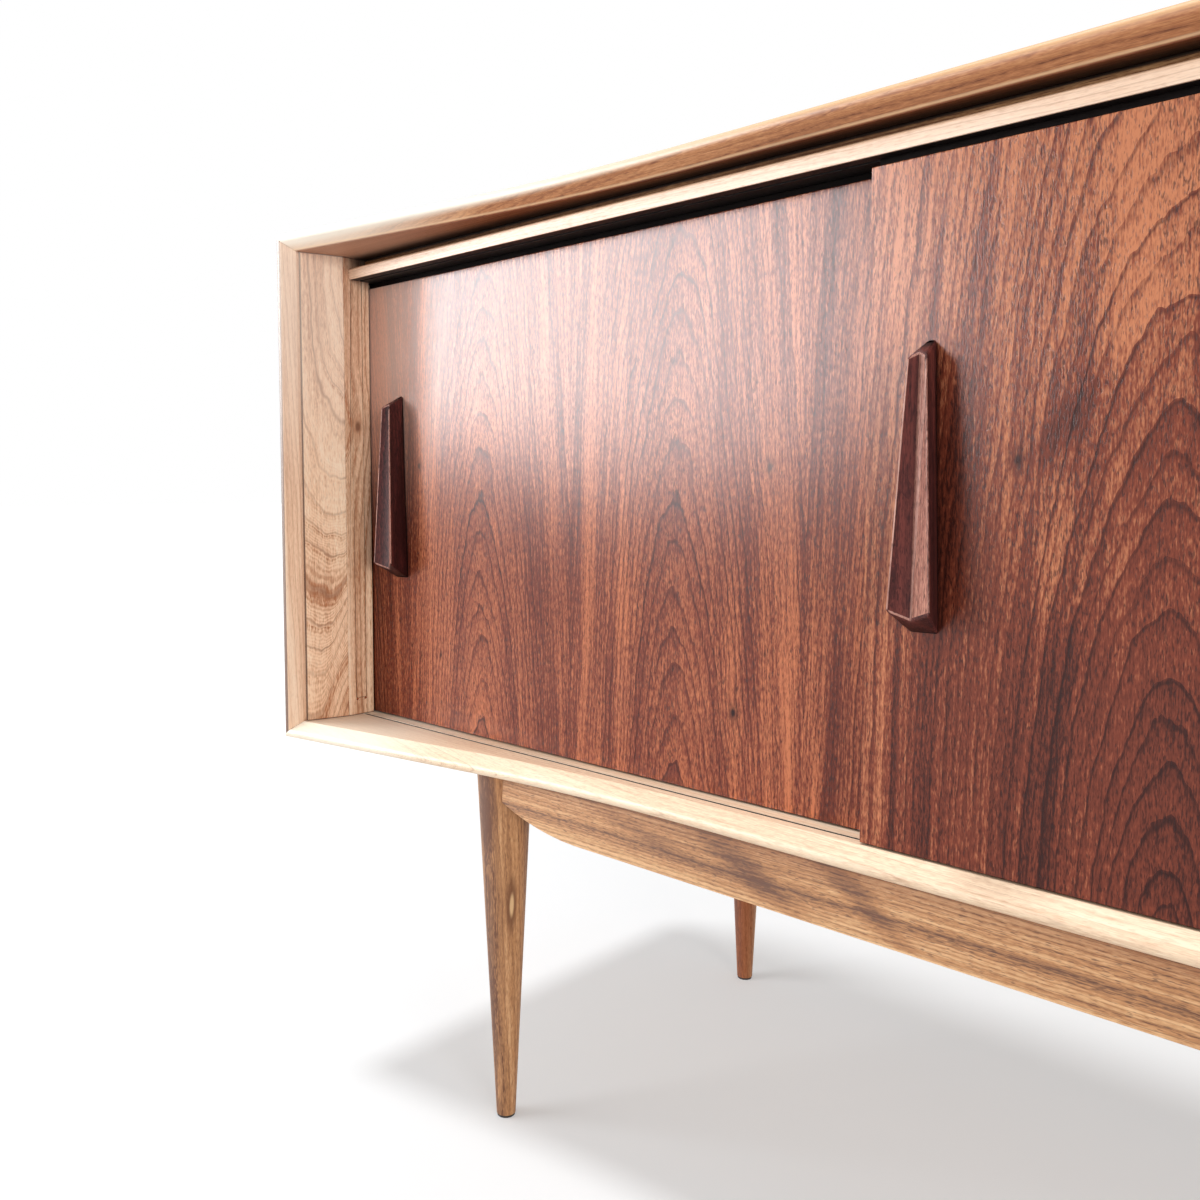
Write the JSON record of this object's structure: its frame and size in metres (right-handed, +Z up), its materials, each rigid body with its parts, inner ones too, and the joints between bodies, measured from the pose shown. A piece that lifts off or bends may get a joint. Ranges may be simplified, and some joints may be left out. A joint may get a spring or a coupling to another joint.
{
  "type": "sideboard",
  "caption": "Long low sideboard on turned legs: mitred bevelled case with a bowed-in front, flush sliding doors in two grooved rows, sculpted wooden pulls.",
  "frame": {"origin": "on the floor under the middle of the case, halfway between its front corners and its back edge", "axes": "+X to the right of a viewer facing the doors, +Y to the back, +Z up; the doors face -Y and slide along X"},
  "size_m": [1.65, 0.4473, 0.755],
  "materials": {
    "case_elm": "satin oiled pale elm",
    "frame_elm": "satin oiled elm, a little darker",
    "walnut_veneer": "satin walnut veneer",
    "handle_wood": "satin, dark walnut",
    "pin_walnut": "dark filler over pins",
    "back_plywood": "matt plywood",
    "screw_steel": "zinc plated",
    "glide_nylon": "dark nylon"
  },
  "bodies": {
    "case": {"top_front_member": "case_elm", "bottom_front_member": "case_elm", "left_front_stile": "case_elm", "right_front_stile": "case_elm", "top_panel": "case_elm", "bottom_panel": "case_elm", "left_side_panel": "case_elm", "right_side_panel": "case_elm", "back_panel": "back_plywood", "left_splay": "case_elm", "right_splay": "case_elm", "left_jamb": "case_elm", "right_jamb": "case_elm", "jamb_pins": "pin_walnut", "upper_track": "case_elm", "track_packer": "case_elm", "left_divider": "case_elm", "right_divider": "case_elm", "left_shelf": "case_elm", "centre_shelf": "case_elm", "right_shelf": "case_elm", "shelf_pins": "screw_steel", "back_screws": "screw_steel", "front_left_leg": "frame_elm", "front_right_leg": "frame_elm", "rear_left_leg": "frame_elm", "rear_right_leg": "frame_elm", "foot_glides": "glide_nylon", "front_apron": "frame_elm", "rear_apron": "frame_elm", "left_stretcher": "frame_elm", "right_stretcher": "frame_elm", "frame_cleats": "frame_elm", "cleat_screws": "screw_steel"},
    "door_left": {"left_door": "walnut_veneer", "left_door_tongue": "case_elm", "left_door_glides": "glide_nylon", "left_handle": "handle_wood", "left_handle_screws": "screw_steel"},
    "door_centre": {"centre_door": "walnut_veneer", "centre_door_tongue": "case_elm", "centre_door_glides": "glide_nylon", "centre_left_handle": "handle_wood", "centre_right_handle": "handle_wood", "centre_handle_screws": "screw_steel"},
    "door_right": {"right_door": "walnut_veneer", "right_door_tongue": "case_elm", "right_door_glides": "glide_nylon", "right_handle": "handle_wood", "right_handle_screws": "screw_steel"}
  },
  "joints": [
    {"name": "left_door_slide", "type": "slide", "parent": "case", "child": "door_left", "axis": [1, 0, 0], "range_m": [0, 0.24]},
    {"name": "centre_door_slide", "type": "slide", "parent": "case", "child": "door_centre", "axis": [1, 0, 0], "range_m": [-0.22, 0.22]},
    {"name": "right_door_slide", "type": "slide", "parent": "case", "child": "door_right", "axis": [1, 0, 0], "range_m": [-0.24, 0]}
  ]
}
